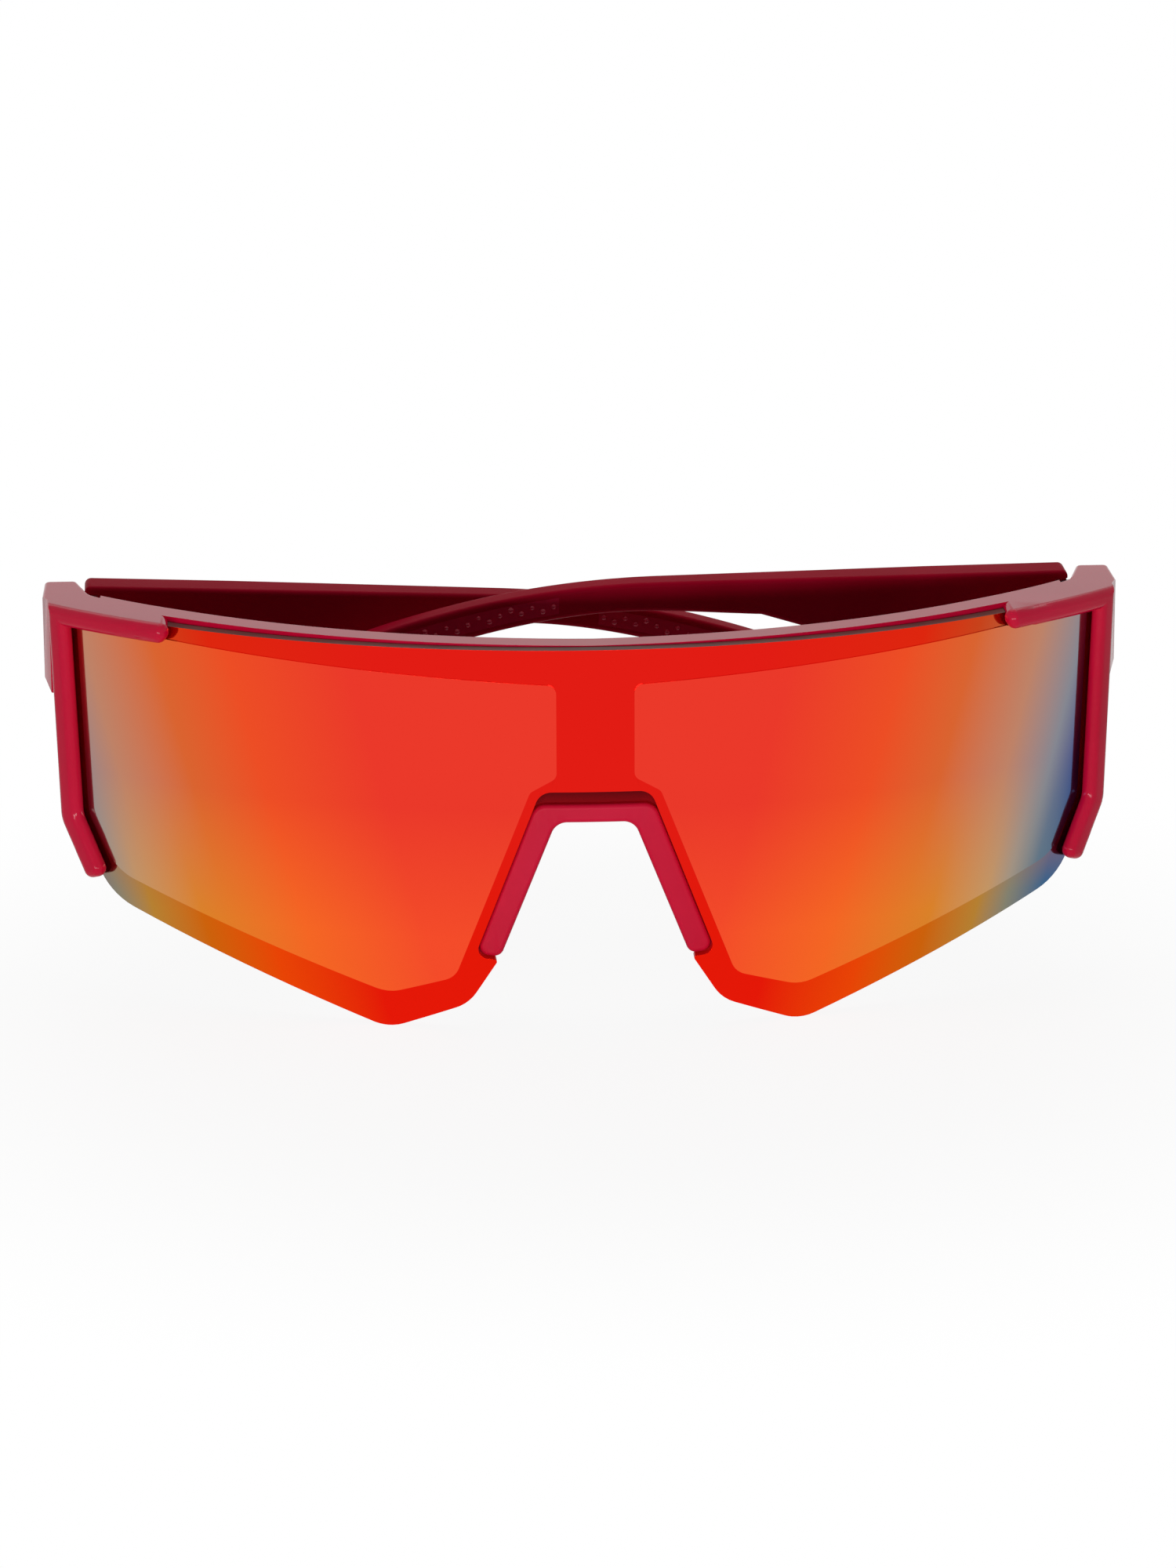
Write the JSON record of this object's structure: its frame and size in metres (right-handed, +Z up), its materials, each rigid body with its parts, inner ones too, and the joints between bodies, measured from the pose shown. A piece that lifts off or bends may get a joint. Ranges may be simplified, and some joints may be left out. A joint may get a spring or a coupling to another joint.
{
  "type": "shield sunglasses",
  "caption": "Wrap shield sunglasses with a red mirror lens, a raspberry half frame, a nose arch and folding temples, stored folded.",
  "frame": {"origin": "underside of the nose arch at its middle, where it sits on the bridge of the nose", "axes": "+X to the wearer's left along the width, +Y to the back of the head, +Z up"},
  "size_m": [0.1484, 0.0488, 0.0535],
  "materials": {
    "frame_plastic": "raspberry moulded plastic, satin with a soft gloss",
    "mirror_lens": "clear moulded lens with a red mirror coat that turns orange and grey-blue at the sides",
    "nose_plastic": "raspberry soft plastic, satin",
    "temple_plastic": "raspberry moulded plastic, satin",
    "grip_rubber": "raspberry soft rubber with nubs",
    "hinge_steel": "brushed steel",
    "screw_steel": "turned steel"
  },
  "bodies": {
    "front": {"front_frame": "frame_plastic", "shield_lens": "mirror_lens", "nose_piece": "nose_plastic", "left_frame_hinge": "hinge_steel", "right_frame_hinge": "hinge_steel", "left_hinge_screw": "screw_steel", "right_hinge_screw": "screw_steel"},
    "left_arm": {"left_temple": "temple_plastic", "left_temple_hinge": "hinge_steel", "left_temple_grip": "grip_rubber"},
    "right_arm": {"right_temple": "temple_plastic", "right_temple_hinge": "hinge_steel", "right_temple_grip": "grip_rubber"}
  },
  "joints": [
    {"name": "left_temple_fold", "type": "hinge", "parent": "front", "child": "left_arm", "pos_m": [0.069, 0.0362, 0.01872], "axis": [0, 0, -1], "range_deg": [0, 93.2]},
    {"name": "right_temple_fold", "type": "hinge", "parent": "front", "child": "right_arm", "pos_m": [-0.069, 0.0362, 0.01872], "axis": [0.0454, 0, 0.999], "range_deg": [0, 88.1]}
  ]
}
